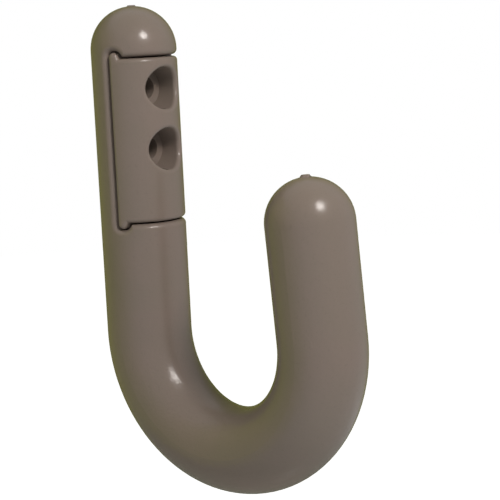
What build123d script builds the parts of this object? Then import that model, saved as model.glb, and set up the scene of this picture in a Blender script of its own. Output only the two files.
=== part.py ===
from build123d import *
import math
import os

# Coat hook: a round bar bent into a J, with a fixing block snapped into the front of its shank.
# Sizes are in millimetres and angles in degrees. The wall is the plane Y = 0, the hook reaches out
# along -Y, Z is up, and the origin lies on the wall midway between the two screw holes.

# The bar and its bend, measured along the middle of the bar
bar_diameter = 20.0
flat_depth = 2.0            # cut off the bar's back where it meets the wall
flat_edge_chamfer = 0.6
bend_drop = 50.1            # from the origin down to the start of the bend
bend_radius = 26.1
tip_length = 25.8           # straight part of the tip, up to the centre of its dome
tip_lean = 4.4              # how far the tip leans back towards the wall
head_height = 1.5           # from the socket's top end up to the centre of the shank's dome

# The two screws that fix the hook to the wall
screw_spacing = 14.0
screw_hole_diameter = 5.0
seat_diameter = 8.6         # flat seat under each screw's head
seat_setback = 3.4          # from the shank's middle out to that seat
pocket_draft = 5.5          # how the head's pocket widens towards its mouth
mouth_radius = 0.9          # rounded rim of the pocket

# The fixing block and the socket that it fits
block_length = 37.7
end_wall = 1.3              # from the upper pocket's rim up to the block's top end
block_setback = 1.0         # from the shank's middle out to the block's back
bead_height = 1.45          # snap bead along the back of the block's top and bottom ends
bead_radius = 1.1
bead_slope = 60.0           # how steeply the bead's front side rises from the block's end
block_edge_radius = 1.0     # rounded edge all round the block's front
fit_gap = 0.35              # shadow gap between the block and its socket
land_width = 12.0           # land on the block's back that bridges the gap and takes the load
socket_rim_radius = 1.3

# The marks that the moulding gates leave on the two domes
head_mark_diameter = 2.0
head_mark_height = 0.2
tip_mark_diameter = 2.5
tip_mark_height = 0.45
mark_taper = 38.0           # how the marks narrow upwards

bar_radius = bar_diameter / 2
shank_setback = bar_radius - flat_depth
block_back = shank_setback + block_setback
pocket_slope = math.tan(math.radians(pocket_draft))
pocket_radius = seat_diameter / 2 + (bar_radius - seat_setback) * pocket_slope + mouth_radius
block_top = screw_spacing / 2 + pocket_radius + end_wall
block_middle = block_top - block_length / 2
dome_rise = block_top + fit_gap + head_height
cutter_reach = 2 * bar_diameter


def middle_line():
    """The bar's middle line: down the shank, round the bend and up the tip."""
    shank = Line((-shank_setback, dome_rise), (-shank_setback, -bend_drop))
    bend = JernArc(shank @ 1, shank % 1, bend_radius, -(180 + tip_lean))
    tip = Line(bend @ 1, bend @ 1 + (bend % 1) * tip_length)
    return (Plane.YZ * (shank + bend + tip)).wire()


def bent_bar(line):
    """The round bar along its middle line, with a dome on each end and a flat back."""
    bar = sweep(Plane(line @ 0, z_dir=line % 0) * Circle(bar_radius), line)
    for dome_centre in (line @ 0, line @ 1):
        bar += Pos(dome_centre) * Sphere(bar_radius)
    bar = split(bar, Plane.XZ, keep=Keep.TOP)
    flat = bar.faces().sort_by(Axis.Y)[-1]
    return chamfer(flat.outer_wire().edges(), flat_edge_chamfer)


def gate_mark(dome_centre, direction, diameter, height):
    """A low tapered stub that stands proud of the middle of a dome."""
    narrowing = height * math.tan(math.radians(mark_taper))
    stub = Cone(diameter / 2 + narrowing, diameter / 2 - narrowing, 2 * height)
    return Plane(dome_centre, z_dir=direction) * Pos(0, 0, bar_radius) * stub


def block_side_view():
    """The block seen from the side, with a bead behind each end and its front left long."""
    half = block_length / 2
    front = shank_setback + bar_diameter
    bead_start = (-block_back, half + bead_height - bead_radius)
    bead = JernArc(bead_start, (0, 1), bead_radius, 90 + bead_slope)
    ramp_top = bead @ 1
    ramp_run = (ramp_top.Y - half) / math.tan(math.radians(bead_slope))
    ramp_foot = (ramp_top.X - ramp_run, half)
    outline = Line((-block_back, 0), bead @ 0) + bead
    outline += Polyline(ramp_top, ramp_foot, (-front, half), (-front, 0), (-block_back, 0))
    upper = make_face(outline)
    return Pos(0, block_middle) * (upper + mirror(upper, Plane.XZ))


def across_bar(side_view):
    """A side view stretched right across the bar."""
    return extrude(Plane.YZ * side_view, cutter_reach, both=True)


def at_screws(shape):
    """A copy of a shape on each screw's axis, from the shank's middle outwards."""
    outwards = Plane((0, -shank_setback, 0), x_dir=(1, 0, 0), z_dir=(0, -1, 0))
    return [outwards * place * shape for place in GridLocations(0, screw_spacing, 1, 2)]


def screw_holes():
    return at_screws(Cylinder(screw_hole_diameter / 2, cutter_reach))


def head_pockets():
    """A tapered pocket for each screw's head, from its seat out through the front."""
    seat_radius = seat_diameter / 2
    far_radius = seat_radius + cutter_reach * pocket_slope
    pocket = Cone(seat_radius, far_radius, cutter_reach, align=(Align.CENTER, Align.CENTER, Align.MIN))
    return at_screws(Pos(0, 0, seat_setback) * pocket)


def block_section():
    """The block seen from above: the bar's round front, cut straight along the block's back."""
    front = Pos(0, -block_back) * Rectangle(bar_diameter, bar_diameter, align=(Align.CENTER, Align.MAX))
    return Pos(0, -shank_setback) * Circle(bar_radius) & front


def round_block(side_view):
    """The block's outer form, flush with the bar and rounded all round its front."""
    column = Pos(0, 0, block_middle) * extrude(block_section(), block_length, both=True)
    block = across_bar(side_view) & column
    front = block.faces().filter_by(GeomType.CYLINDER).sort_by(SortBy.AREA)[-1]
    return fillet(front.outer_wire().edges(), min(block_edge_radius, 0.95 * end_wall))


def make_fixing_block(side_view):
    """The block with its land, its screw holes and the round-rimmed pockets for their heads."""
    block = round_block(side_view)
    land = Box(land_width, fit_gap, block_length, align=(Align.CENTER, Align.MIN, Align.CENTER))
    block += Pos(0, -block_back, block_middle) * land
    pockets = head_pockets()
    pocketed = block - pockets
    mouths = new_edges(block, *pockets, combined=pocketed).filter_by(GeomType.BSPLINE)
    return fillet(mouths, mouth_radius) - screw_holes()


def make_hook_body(side_view):
    """The bent bar with a socket for the block, the screw holes and the gate marks."""
    line = middle_line()
    bar = bent_bar(line)
    socket = across_bar(offset(side_view, fit_gap, kind=Kind.ARC))
    body = bar - socket
    rim = new_edges(bar, socket, combined=body).filter_by(Axis.X, reverse=True)
    body = fillet(rim, min(socket_rim_radius, 0.95 * head_height))
    body -= screw_holes()
    body += gate_mark(line @ 0, -(line % 0), head_mark_diameter, head_mark_height)
    body += gate_mark(line @ 1, line % 1, tip_mark_diameter, tip_mark_height)
    return body


os.makedirs("parts", exist_ok=True)
side_view = block_side_view()
export_step(make_hook_body(side_view), "parts/hook_body.step")
export_step(make_fixing_block(side_view), "parts/fixing_block.step")
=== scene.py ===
"""Looks of the coat hook: satin nylon on its two moulded pieces, a plain studio and the camera."""

import math

import bmesh
import bpy
from bpy.props import FloatProperty, FloatVectorProperty, PointerProperty
from mathutils import Matrix, Vector


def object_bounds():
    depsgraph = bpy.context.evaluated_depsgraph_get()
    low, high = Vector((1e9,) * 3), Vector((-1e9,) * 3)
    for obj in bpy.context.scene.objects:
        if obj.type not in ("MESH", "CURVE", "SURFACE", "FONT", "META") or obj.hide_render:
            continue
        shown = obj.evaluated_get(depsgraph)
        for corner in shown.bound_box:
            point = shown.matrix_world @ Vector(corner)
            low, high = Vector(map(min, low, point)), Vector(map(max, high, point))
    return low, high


bl_info = {
    "name": "Coat Hook Looks",
    "version": (1, 0, 0),
    "blender": (4, 5, 0),
    "location": "View3D > Sidebar > Coat Hook",
    "description": "Dresses the moulded coat hook and sets its studio and camera",
    "category": "Object",
}

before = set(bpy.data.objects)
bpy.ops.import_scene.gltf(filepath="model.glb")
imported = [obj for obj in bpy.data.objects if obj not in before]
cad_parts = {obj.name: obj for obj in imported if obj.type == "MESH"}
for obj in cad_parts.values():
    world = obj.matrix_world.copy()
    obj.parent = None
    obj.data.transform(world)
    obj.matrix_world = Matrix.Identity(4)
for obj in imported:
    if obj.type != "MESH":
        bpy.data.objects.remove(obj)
CAD_BOX = [list(corner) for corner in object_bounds()]

NYLON_IOR = 1.53
SPECK_DEPTH = 0.25      # how far a speck takes on its own colour
SPECK_SHADE = 0.8       # that colour, as a share of the clouds'

# The noise values over which the clouds, the specks and the smudges come in
CLOUD_EDGE = (0.30, 0.70)
SPECK_EDGE = (0.55, 0.75)
SMUDGE_EDGE = (0.30, 0.70)

FLOOR_SIDES = 96
CARD_SIDES = 64
SENSOR_WIDTH = 36.0     # in millimetres, as Blender's cameras count it
CLIP_START = 0.01


class NylonFinish(bpy.types.PropertyGroup):
    """The moulded nylon that both pieces are made of."""

    colour: FloatVectorProperty(
        name="Colour", description="Pigment of the nylon", subtype="COLOR", size=3,
        min=0.0, max=1.0, default=(0.151, 0.120, 0.102))
    cloud_colour: FloatVectorProperty(
        name="Cloud Colour", description="Pigment where the melt flowed on more slowly",
        subtype="COLOR", size=3, min=0.0, max=1.0, default=(0.144, 0.118, 0.098))
    cloud_size: FloatProperty(
        name="Cloud Size", description="Width of the soft clouds in the pigment",
        default=0.012, min=0.001, unit="LENGTH")
    speck_size: FloatProperty(
        name="Speck Size", description="Width of the fine specks in the pigment",
        default=0.0005, min=0.0001, unit="LENGTH")
    shine_low: FloatProperty(
        name="Least Roughness", description="Roughness where the mould was polished best",
        default=0.235, min=0.0, max=1.0, subtype="FACTOR")
    shine_high: FloatProperty(
        name="Most Roughness", description="Roughness where handling has dulled the surface",
        default=0.27, min=0.0, max=1.0, subtype="FACTOR")
    gloss: FloatProperty(
        name="Gloss", description="Strength of the reflections", default=0.22, min=0.0,
        max=1.0, subtype="FACTOR")
    smudge_size: FloatProperty(
        name="Smudge Size", description="Width of the duller patches",
        default=0.009, min=0.001, unit="LENGTH")
    ripple_size: FloatProperty(
        name="Ripple Size", description="Width of the slight sink ripples of a thick moulding",
        default=0.0026, min=0.001, unit="LENGTH")
    ripple_height: FloatProperty(
        name="Ripple Height", description="Height of the sink ripples",
        default=0.00006, min=0.0, unit="LENGTH")
    grain_size: FloatProperty(
        name="Grain Size", description="Width of the fine grain that the mould leaves",
        default=0.00025, min=0.00005, unit="LENGTH")
    grain_height: FloatProperty(
        name="Grain Height", description="Height of the mould's grain",
        default=0.0000015, min=0.0, unit="LENGTH")


class EjectorMark(bpy.types.PropertyGroup):
    """The faint round mark that an ejector pin leaves on the side of the tip."""

    place: FloatVectorProperty(
        name="Place", description="Middle of the mark", subtype="TRANSLATION", size=3,
        unit="LENGTH", default=(-0.010, -0.0609, -0.0476))
    radius: FloatProperty(
        name="Radius", description="Radius of the pin", default=0.0034, min=0.0005,
        unit="LENGTH")
    softness: FloatProperty(
        name="Softness", description="Width over which the mark's edge fades",
        default=0.0004, min=0.00005, unit="LENGTH")
    height: FloatProperty(
        name="Height", description="How far the mark stands proud", default=0.00002,
        min=0.0, unit="LENGTH")


class StrapRub(bpy.types.PropertyGroup):
    """The fine scuffs that hanging loops and straps rub into the bowl of the hook."""

    place: FloatVectorProperty(
        name="Place", description="Middle of the rubbed bowl", subtype="TRANSLATION", size=3,
        unit="LENGTH", default=(0.0, -0.0320, -0.0640))
    radius: FloatProperty(
        name="Radius", description="How far the scuffs reach at their full height",
        default=0.016, min=0.0, unit="LENGTH")
    softness: FloatProperty(
        name="Softness", description="Width over which the scuffs fade", default=0.010,
        min=0.0005, unit="LENGTH")
    width: FloatProperty(
        name="Width", description="Width of one scuff", default=0.0007, min=0.0001,
        unit="LENGTH")
    height: FloatProperty(
        name="Height", description="Height of the scuffs", default=0.00004, min=0.0,
        unit="LENGTH")


class StudioStage(bpy.types.PropertyGroup):
    """The floor, the white surroundings, the glowing card that paints reflections and the lamps.
    """

    floor_drop: FloatProperty(
        name="Floor Drop", description="From the hook's lowest point down to the floor",
        default=0.30, min=0.01, unit="LENGTH")
    floor_radius: FloatProperty(
        name="Floor Radius", description="Radius of the round floor", default=2.5,
        min=0.2, unit="LENGTH")
    floor_colour: FloatVectorProperty(
        name="Floor Colour", description="Pale colour of the floor", subtype="COLOR",
        size=3, min=0.0, max=1.0, default=(0.80, 0.80, 0.80))
    floor_lift: FloatProperty(
        name="Floor Lift", description="Light that makes the floor read as white",
        default=0.42, min=0.0)
    floor_bounce: FloatProperty(
        name="Floor Bounce", description="Light that the floor sends up by itself",
        default=0.46, min=0.0)
    ambient_colour: FloatVectorProperty(
        name="Ambient Colour", description="Colour of the light from all round",
        subtype="COLOR", size=3, min=0.0, max=1.0, default=(1.0, 1.0, 1.0))
    ambient_level: FloatProperty(
        name="Ambient Level", description="Strength of the light from all round",
        default=0.22, min=0.0)
    broad_size: FloatProperty(
        name="Broad Size", description="Width of the three broad lamps", default=0.8,
        min=0.05, unit="LENGTH")
    front_place: FloatVectorProperty(
        name="Front Place", description="Where the broad front lamp stands",
        subtype="TRANSLATION", size=3, unit="LENGTH", default=(-0.596, -0.551, 0.086))
    front_power: FloatProperty(
        name="Front Power", description="Power of the front lamp", default=0.95, min=0.0,
        unit="POWER")
    front_colour: FloatVectorProperty(
        name="Front Colour", description="Colour of the front lamp", subtype="COLOR",
        size=3, min=0.0, max=1.0, default=(1.0, 0.99, 0.98))
    rear_place: FloatVectorProperty(
        name="Rear Place", description="Where the broad lamp above the back stands",
        subtype="TRANSLATION", size=3, unit="LENGTH", default=(-0.279, 0.428, 0.556))
    rear_power: FloatProperty(
        name="Rear Power", description="Power of the rear lamp", default=1.65, min=0.0,
        unit="POWER")
    rear_colour: FloatVectorProperty(
        name="Rear Colour", description="Colour of the rear lamp", subtype="COLOR",
        size=3, min=0.0, max=1.0, default=(1.0, 1.0, 0.62))
    back_place: FloatVectorProperty(
        name="Back Place", description="Where the broad lamp behind the hook stands",
        subtype="TRANSLATION", size=3, unit="LENGTH", default=(0.640, 0.520, 0.050))
    back_power: FloatProperty(
        name="Back Power", description="Power of the back lamp", default=5.5, min=0.0,
        unit="POWER")
    back_colour: FloatVectorProperty(
        name="Back Colour", description="Colour of the back lamp", subtype="COLOR",
        size=3, min=0.0, max=1.0, default=(1.0, 1.0, 1.0))
    card_turn: FloatProperty(
        name="Card Turn", description="Which way the middle of the card lies, round from +X",
        default=math.radians(78), subtype="ANGLE")
    card_distance: FloatProperty(
        name="Card Distance", description="From the hook out to the card", default=0.5,
        min=0.1, unit="LENGTH")
    card_height: FloatProperty(
        name="Card Height", description="From the card's base up to its top", default=0.85,
        min=0.05, unit="LENGTH")
    card_lift: FloatProperty(
        name="Card Lift", description="From the floor up to the card's base", default=0.02,
        min=0.001, unit="LENGTH")
    card_eye: FloatProperty(
        name="Card Eye", description="Radius of the hole in the middle of the card's base",
        default=0.02, min=0.001, unit="LENGTH")
    card_solid: FloatProperty(
        name="Card Solid", description="How far from its middle the card is solid",
        default=0.50, min=0.0, unit="LENGTH")
    card_fade: FloatProperty(
        name="Card Fade", description="How far from its middle the card has faded away",
        default=0.92, min=0.01, unit="LENGTH")
    # The card's olive glow, which the gloss mirrors as a painted reflection on the hook's edges
    card_glow_colour: FloatVectorProperty(
        name="Card Colour", description="Olive colour of the card", subtype="COLOR",
        size=3, min=0.0, max=1.0, default=(0.92, 1.0, 0.04))
    card_level: FloatProperty(
        name="Card Level", description="Brightness of most of the card", default=0.20,
        min=0.0)
    # The dull glow at the card's base, which paints shade into the reflection on the bend's lower
    # edge
    base_shade_glow_colour: FloatVectorProperty(
        name="Base Colour", description="Dull colour of the card's base", subtype="COLOR",
        size=3, min=0.0, max=1.0, default=(0.16, 0.19, 0.14))
    base_rise: FloatProperty(
        name="Base Rise", description="Height over which the base's colour turns into olive",
        default=0.12, min=0.01, unit="LENGTH")
    # The card's bright side, which the gloss mirrors as a painted reflection of light
    bright_turn: FloatProperty(
        name="Bright Turn", description="Which way the card's bright side lies, round from +X",
        default=math.radians(148), subtype="ANGLE")
    bright_level: FloatProperty(
        name="Bright Level", description="Brightness of the card's bright side", default=0.70,
        min=0.0)
    bright_reach: FloatProperty(
        name="Bright Reach", description="How far the card's bright side is at its full level",
        default=0.25, min=0.0, unit="LENGTH")
    bright_fade: FloatProperty(
        name="Bright Fade", description="How far off the card's bright side has faded",
        default=0.70, min=0.01, unit="LENGTH")
    key_place: FloatVectorProperty(
        name="Key Place", description="Where the small key lamp stands",
        subtype="TRANSLATION", size=3, unit="LENGTH", default=(-0.068, -0.300, 0.220))
    key_size: FloatProperty(
        name="Key Size", description="Width of the key lamp's round face", default=0.10,
        min=0.005, unit="LENGTH")
    key_power: FloatProperty(
        name="Key Power", description="Power of the key lamp", default=1.33, min=0.0,
        unit="POWER")
    key_colour: FloatVectorProperty(
        name="Key Colour", description="Colour of the key lamp", subtype="COLOR",
        size=3, min=0.0, max=1.0, default=(1.0, 0.94, 0.90))


class HookCamera(bpy.types.PropertyGroup):
    """The camera, as it stands for the main picture."""

    target: FloatVectorProperty(
        name="Target", description="Point in the middle of the picture",
        subtype="TRANSLATION", size=3, unit="LENGTH", default=(0.00546, -0.03602, -0.03043))
    azimuth: FloatProperty(
        name="Azimuth", description="How far the camera stands round from the front",
        default=math.radians(-49.40), subtype="ANGLE")
    elevation: FloatProperty(
        name="Elevation", description="How far the camera looks down",
        default=math.radians(8.36), subtype="ANGLE")
    roll: FloatProperty(
        name="Roll", description="Tilt of the picture", default=math.radians(-2.76),
        subtype="ANGLE")
    distance: FloatProperty(
        name="Distance", description="From the camera to its target", default=0.35483,
        min=0.05, unit="LENGTH")
    lens: FloatProperty(
        name="Lens", description="Focal length on a 36 mm sensor", default=111.88,
        min=10.0, unit="CAMERA")


class NodeTree:
    """Adds shader nodes to a tree and links them by socket name or number."""

    def __init__(self, tree):
        self.tree = tree
        tree.nodes.clear()

    def add(self, kind, inputs=None, **settings):
        """A node with its settings, whose inputs take values or other nodes' outputs."""
        node = self.tree.nodes.new("ShaderNode" + kind)
        for name, value in settings.items():
            setattr(node, name, value)
        for name, value in (inputs or {}).items():
            if isinstance(value, bpy.types.NodeSocket):
                self.tree.links.new(value, node.inputs[name])
            else:
                node.inputs[name].default_value = value
        return node

    def noise(self, coords, width, detail, roughness=0.5):
        """Soft noise whose lumps are about as wide as given."""
        inputs = {"Vector": coords, "Scale": 1 / width, "Detail": detail, "Roughness": roughness}
        return self.add("TexNoise", inputs).outputs["Fac"]

    def spread(self, value, low, high, to_low=0.0, to_high=1.0):
        """Eases from one value to another as the input goes from low to high."""
        inputs = {"Value": value, "From Min": low, "From Max": high,
                  "To Min": to_low, "To Max": to_high}
        return self.add("MapRange", inputs, interpolation_type="SMOOTHSTEP").outputs["Result"]

    def mix_colour(self, factor, first, second):
        """Two colours mixed by a factor. A Mix node's colour sockets go by number."""
        node = self.add("Mix", {0: factor, 6: first, 7: second}, data_type="RGBA")
        return node.outputs[2]

    def bump(self, height, distance, normal=None):
        """Relief of a given height, on top of an earlier relief if there is one."""
        inputs = {"Height": height, "Distance": distance, "Strength": 1.0}
        if normal is not None:
            inputs["Normal"] = normal
        return self.add("Bump", inputs).outputs["Normal"]


def opaque(colour, shade=1.0):
    """A colour with full alpha, darkened to a share of itself."""
    return tuple(channel * shade for channel in colour) + (1.0,)


def nylon_colour(nodes, coords, finish):
    """Pigment with soft clouds from the flow of the melt and very fine specks."""
    flow = nodes.noise(coords, finish.cloud_size, detail=4.0, roughness=0.55)
    clouds = nodes.spread(flow, *CLOUD_EDGE)
    pigment = nodes.mix_colour(clouds, opaque(finish.colour), opaque(finish.cloud_colour))
    dust = nodes.noise(coords, finish.speck_size, detail=2.0)
    specks = nodes.spread(dust, *SPECK_EDGE, to_high=SPECK_DEPTH)
    return nodes.mix_colour(specks, pigment, opaque(finish.cloud_colour, SPECK_SHADE))


def nylon_shine(nodes, coords, finish):
    """Roughness that wanders between polished and slightly dulled."""
    smudges = nodes.noise(coords, finish.smudge_size, detail=2.0)
    return nodes.spread(smudges, *SMUDGE_EDGE, finish.shine_low, finish.shine_high)


def near(nodes, coords, place, full, none, inside=1.0, outside=0.0):
    """A value that holds as far as full from a place, and has eased to another by none."""
    away = nodes.add("VectorMath", {0: coords, 1: place}, operation="DISTANCE").outputs["Value"]
    return nodes.spread(away, full, none, inside, outside)


def spot(nodes, coords, patch):
    """1 within a patch's radius of its place, fading to 0 over its softness."""
    return near(nodes, coords, patch.place, patch.radius, patch.radius + patch.softness)


def rubbed_relief(nodes, coords, rub):
    """Fine scuffs that fade out round the bowl."""
    scuffs = nodes.noise(coords, rub.width, detail=2.0)
    inputs = {0: scuffs, 1: spot(nodes, coords, rub)}
    return nodes.add("Math", inputs, operation="MULTIPLY").outputs["Value"]


def nylon_relief(nodes, coords, finish, mark=None, rub=None):
    """Sink ripples under the mould's fine grain, with the ejector's mark and the scuffs if any."""
    ripples = nodes.noise(coords, finish.ripple_size, detail=1.0)
    normal = nodes.bump(ripples, finish.ripple_height)
    if mark is not None:
        normal = nodes.bump(spot(nodes, coords, mark), mark.height, normal)
    if rub is not None:
        normal = nodes.bump(rubbed_relief(nodes, coords, rub), rub.height, normal)
    grain = nodes.noise(coords, finish.grain_size, detail=2.0)
    return nodes.bump(grain, finish.grain_height, normal)


def satin_nylon(name, finish, mark=None, rub=None):
    """Satin moulded nylon, from the finish's own sizes."""
    material = bpy.data.materials.new(name)
    material.use_nodes = True
    nodes = NodeTree(material.node_tree)
    coords = nodes.add("TexCoord").outputs["Object"]
    nylon = nodes.add("BsdfPrincipled", {
        "Base Color": nylon_colour(nodes, coords, finish),
        "Roughness": nylon_shine(nodes, coords, finish),
        "Normal": nylon_relief(nodes, coords, finish, mark, rub),
        "IOR": NYLON_IOR,
        "Specular IOR Level": finish.gloss,
    })
    nodes.add("OutputMaterial", {"Surface": nylon.outputs["BSDF"]})
    return material


def dress(node_name, material):
    """Puts a material into every material slot that a CAD node already has."""
    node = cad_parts.get(node_name)
    if node is None:
        raise RuntimeError(f"the frame has no node {node_name}")
    for slot in node.material_slots:
        slot.material = material


def white_to_viewers(nodes):
    """1 for rays from the camera and those that gloss or glass sends on, or else 0."""
    path = nodes.add("LightPath").outputs
    seen = nodes.add("Math", {0: path["Is Camera Ray"], 1: path["Is Glossy Ray"]},
                     operation="MAXIMUM").outputs["Value"]
    return nodes.add("Math", {0: seen, 1: path["Is Transmission Ray"]},
                     operation="MAXIMUM").outputs["Value"]


def floor_level(stage):
    """Height of the floor."""
    return CAD_BOX[0][2] - stage.floor_drop


def pale_floor(stage):
    """A round pale floor below the hook, which reads as white."""
    mesh = bpy.data.meshes.new("floor")
    disc = bmesh.new()
    bmesh.ops.create_circle(disc, cap_ends=True, segments=FLOOR_SIDES,
                            radius=stage.floor_radius)
    bmesh.ops.translate(disc, vec=(0.0, 0.0, floor_level(stage)), verts=disc.verts)
    disc.to_mesh(mesh)
    disc.free()
    floor = bpy.data.objects.new("floor", mesh)
    bpy.context.scene.collection.objects.link(floor)
    floor.data.materials.append(floor_paint(stage))


def floor_paint(stage):
    """Pale matt paint that sends up some light of its own and reads as white."""
    material = bpy.data.materials.new("floor_paint")
    material.use_nodes = True
    nodes = NodeTree(material.node_tree)
    paint = nodes.add("BsdfDiffuse", {"Color": opaque(stage.floor_colour)})
    inputs = {0: white_to_viewers(nodes), 1: stage.floor_lift, 2: stage.floor_bounce}
    level = nodes.add("Math", inputs, operation="MULTIPLY_ADD").outputs["Value"]
    glow = nodes.add("Emission", {"Strength": level})
    both = nodes.add("AddShader", {0: paint.outputs["BSDF"], 1: glow.outputs["Emission"]})
    nodes.add("OutputMaterial", {"Surface": both.outputs["Shader"]})
    return material


def white_surroundings(stage):
    """Soft light from all round, and white wherever the camera or a gloss sees past the floor."""
    world = bpy.data.worlds.new("surroundings")
    world.use_nodes = True
    bpy.context.scene.world = world
    nodes = NodeTree(world.node_tree)
    ambient = nodes.add("Background", {"Color": opaque(stage.ambient_colour),
                                       "Strength": stage.ambient_level})
    white = nodes.add("Background", {"Color": (1.0, 1.0, 1.0, 1.0), "Strength": 1.0})
    both = nodes.add("MixShader", {0: white_to_viewers(nodes), 1: ambient.outputs[0],
                                   2: white.outputs[0]})
    nodes.add("OutputWorld", {"Surface": both.outputs["Shader"]})


def on_card(stage, centre, turn):
    """The point of the card that lies in a direction, level with the hook."""
    return centre + stage.card_distance * Vector((math.cos(turn), math.sin(turn), 0.0))


def card_base(stage):
    """Height of the card's base."""
    return floor_level(stage) + stage.card_lift


def painted_reflection_card(stage, centre):
    """A bowl-shaped glowing card round and below the hook, which only the gloss mirrors: it paints
    olive and bright reflections on the hook, and painted shade from its dull base.
    """
    mesh = bpy.data.meshes.new("painted_reflection_card")
    card = bmesh.new()
    middle = Vector((centre.x, centre.y, card_base(stage)))
    eye = middle + Vector((stage.card_eye, 0.0, 0.0))
    corner = middle + Vector((stage.card_distance, 0.0, 0.0))
    top = corner + Vector((0.0, 0.0, stage.card_height))
    line = [card.verts.new(point) for point in (eye, corner, top)]
    edges = [card.edges.new(line[:2]), card.edges.new(line[1:])]
    bmesh.ops.spin(card, geom=[*line, *edges], cent=centre, axis=(0.0, 0.0, 1.0),
                   angle=math.tau, steps=CARD_SIDES)
    card.to_mesh(mesh)
    card.free()
    holder = bpy.data.objects.new("painted_reflection_card", mesh)
    bpy.context.scene.collection.objects.link(holder)
    holder.data.materials.append(painted_reflection_glow(stage, centre))
    # Only the gloss sees the card, so its glow is a painted reflection; it lights nothing and
    # casts no shadow
    holder.visible_camera = False
    holder.visible_diffuse = False
    holder.visible_shadow = False


def painted_reflection_glow(stage, centre):
    """A soft glow for painted reflections, bright on one side, olive elsewhere and dull at the
    base, that fades away from its middle.
    """
    material = bpy.data.materials.new("painted_reflection_glow")
    material.use_nodes = True
    nodes = NodeTree(material.node_tree)
    coords = nodes.add("TexCoord").outputs["Object"]
    # Painted reflection: bright glow on one side, olive glow over most of the card
    level = near(nodes, coords, on_card(stage, centre, stage.bright_turn), stage.bright_reach,
                 stage.bright_fade, stage.bright_level, stage.card_level)
    glow = nodes.add("Emission", {"Color": opaque(stage.card_glow_colour), "Strength": level})
    # Painted shade: a dull glow at the card's base, turning into the olive glow higher up
    dull = nodes.add("Emission", {"Color": opaque(stage.base_shade_glow_colour)})
    height = nodes.add("SeparateXYZ", {0: coords}).outputs["Z"]
    rise = nodes.spread(height, card_base(stage), card_base(stage) + stage.base_rise)
    card = nodes.add("MixShader", {0: rise, 1: dull.outputs[0], 2: glow.outputs[0]})
    clear = nodes.add("BsdfTransparent")
    cover = near(nodes, coords, on_card(stage, centre, stage.card_turn), stage.card_solid,
                 stage.card_fade)
    both = nodes.add("MixShader", {0: cover, 1: clear.outputs[0], 2: card.outputs[0]})
    nodes.add("OutputMaterial", {"Surface": both.outputs["Shader"]})
    return material


def lamp(name, place, aim, size, power, colour, shows=True):
    """A round soft lamp that faces its aim, and shows or doesn't in the gloss."""
    light = bpy.data.lights.new(name, "AREA")
    light.shape = "DISK"
    light.size = size
    light.energy = power
    light.color = colour
    holder = bpy.data.objects.new(name, light)
    bpy.context.scene.collection.objects.link(holder)
    place = Vector(place)
    turn = (place - Vector(aim)).to_track_quat("Z", "Y").to_matrix().to_4x4()
    holder.matrix_world = Matrix.Translation(place) @ turn
    holder.visible_camera = False
    holder.visible_glossy = shows


def hook_camera(view):
    """The camera, placed by its angles about the target."""
    lens = bpy.data.cameras.new("camera")
    lens.lens = view.lens
    lens.sensor_width = SENSOR_WIDTH
    lens.clip_start = CLIP_START
    camera = bpy.data.objects.new("camera", lens)
    bpy.context.scene.collection.objects.link(camera)
    turn = (Matrix.Rotation(view.azimuth, 4, "Z")
            @ Matrix.Rotation(math.pi / 2 - view.elevation, 4, "X")
            @ Matrix.Rotation(view.roll, 4, "Z"))
    back = turn.to_3x3() @ Vector((0.0, 0.0, view.distance))
    camera.matrix_world = Matrix.Translation(Vector(view.target) + back) @ turn
    bpy.context.scene.camera = camera


class COATHOOK_OT_dress_hook_body(bpy.types.Operator):
    """Give the bent hook its satin nylon, with the ejector's mark and the strap's scuffs"""

    bl_idname = "coathook.dress_hook_body"
    bl_label = "Dress Hook Body"

    def execute(self, context):
        scene = context.scene
        dress("hook_body", satin_nylon("nylon_hook_body", scene.coat_hook_nylon,
                                       scene.coat_hook_mark, scene.coat_hook_rub))
        return {"FINISHED"}


class COATHOOK_OT_dress_fixing_block(bpy.types.Operator):
    """Give the snap-in fixing block its satin nylon"""

    bl_idname = "coathook.dress_fixing_block"
    bl_label = "Dress Fixing Block"

    def execute(self, context):
        dress("fixing_block", satin_nylon("nylon_fixing_block", context.scene.coat_hook_nylon))
        return {"FINISHED"}


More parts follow.
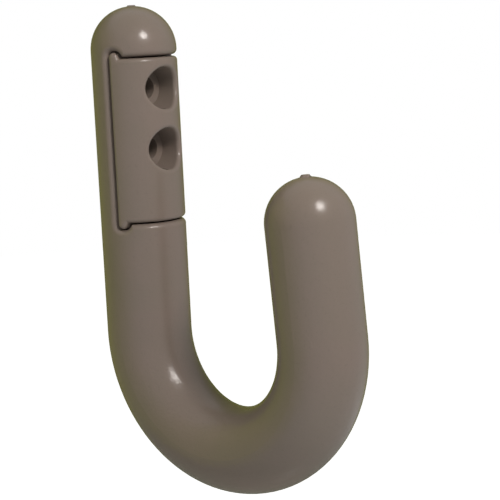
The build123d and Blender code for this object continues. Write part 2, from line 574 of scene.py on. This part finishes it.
class COATHOOK_OT_set_stage(bpy.types.Operator):
    """Set the pale floor, the white surroundings, the glowing card for painted reflections, the
    lamps and the camera
    """

    bl_idname = "coathook.set_stage"
    bl_label = "Set Stage"

    def execute(self, context):
        scene = context.scene
        stage = scene.coat_hook_stage
        pale_floor(stage)
        white_surroundings(stage)
        aim = scene.coat_hook_camera.target
        painted_reflection_card(stage, Vector(aim))
        lamp("key_lamp", stage.key_place, aim, stage.key_size, stage.key_power, stage.key_colour)
        broad = (("front_lamp", stage.front_place, stage.front_power, stage.front_colour),
                 ("rear_lamp", stage.rear_place, stage.rear_power, stage.rear_colour),
                 ("back_lamp", stage.back_place, stage.back_power, stage.back_colour))
        for name, place, power, colour in broad:
            lamp(name, place, aim, stage.broad_size, power, colour, shows=False)
        hook_camera(scene.coat_hook_camera)
        scene.view_settings.view_transform = "Standard"
        return {"FINISHED"}


class COATHOOK_PT_looks(bpy.types.Panel):
    """Lists the steps that dress the coat hook, with their sizes and colours"""

    bl_idname = "COATHOOK_PT_looks"
    bl_label = "Coat Hook"
    bl_space_type = "VIEW_3D"
    bl_region_type = "UI"
    bl_category = "Coat Hook"

    def draw(self, context):
        scene = context.scene
        for group in (scene.coat_hook_nylon, scene.coat_hook_mark, scene.coat_hook_rub,
                      scene.coat_hook_stage, scene.coat_hook_camera):
            box = self.layout.box()
            for name in group.__annotations__:
                box.prop(group, name)
        for step in OPERATORS:
            self.layout.operator(step.bl_idname)


OPERATORS = (COATHOOK_OT_dress_hook_body, COATHOOK_OT_dress_fixing_block, COATHOOK_OT_set_stage)
GROUPS = {"coat_hook_nylon": NylonFinish, "coat_hook_mark": EjectorMark, "coat_hook_rub": StrapRub,
          "coat_hook_stage": StudioStage, "coat_hook_camera": HookCamera}
CLASSES = (*GROUPS.values(), *OPERATORS, COATHOOK_PT_looks)


def register():
    for entry in CLASSES:
        bpy.utils.register_class(entry)
    for name, group in GROUPS.items():
        setattr(bpy.types.Scene, name, PointerProperty(type=group))


def unregister():
    for name in GROUPS:
        delattr(bpy.types.Scene, name)
    for entry in reversed(CLASSES):
        bpy.utils.unregister_class(entry)


def main():
    register()
    bpy.ops.coathook.dress_hook_body()
    bpy.ops.coathook.dress_fixing_block()
    bpy.ops.coathook.set_stage()


if __name__ == "__main__":
    main()
